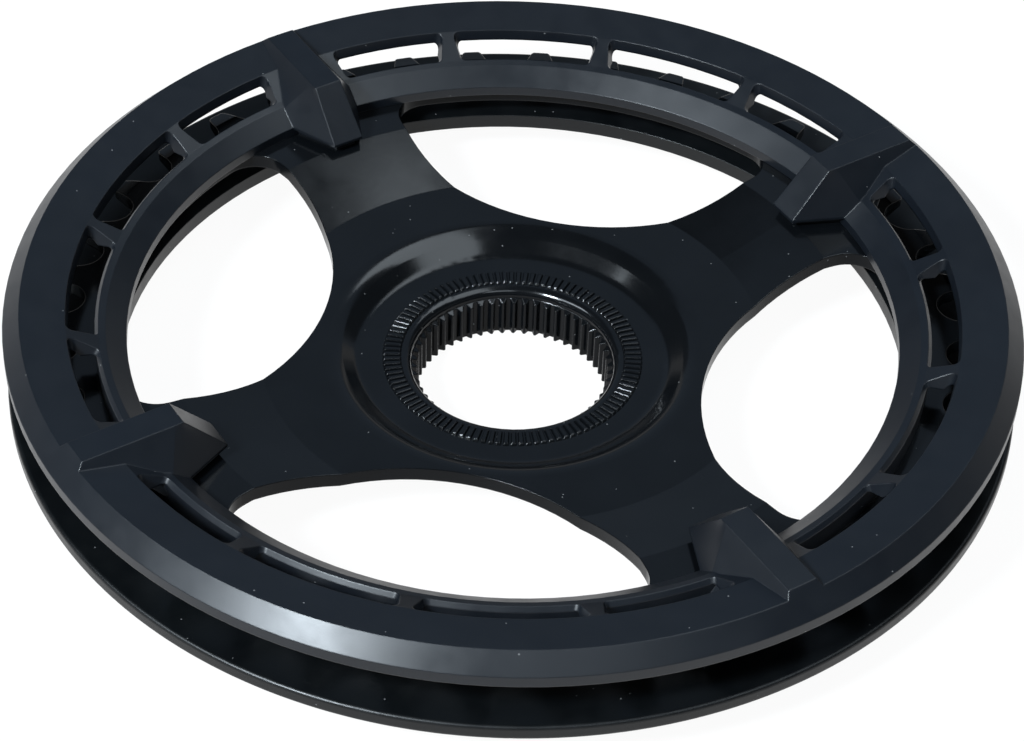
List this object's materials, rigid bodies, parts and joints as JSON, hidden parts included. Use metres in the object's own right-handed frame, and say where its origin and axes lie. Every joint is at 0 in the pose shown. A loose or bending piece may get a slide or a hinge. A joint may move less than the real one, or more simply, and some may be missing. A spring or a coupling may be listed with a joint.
{
  "type": "bicycle chainring",
  "caption": "Dished steel chainring with curved arms and a splined bore, its toothed rim between a slotted outer guard ring and a plain inner guard disc that keep the chain on.",
  "frame": {"origin": "centre of the collar's end face, the lowest plane of the part", "axes": "+Z along the axis of rotation from the collar towards the outer guard; the windows lie on X and Y, the arms on the diagonals"},
  "size_m": [0.17, 0.17, 0.0258],
  "materials": {
    "ring_steel": "gloss black coating",
    "outer_plastic": "satin black",
    "inner_plastic": "satin black",
    "screw_steel": "dark zinc plating"
  },
  "bodies": {
    "root": {"chainring": "ring_steel", "outer_guard": "outer_plastic", "inner_guard": "inner_plastic", "guard_screws": "screw_steel"}
  },
  "joints": []
}
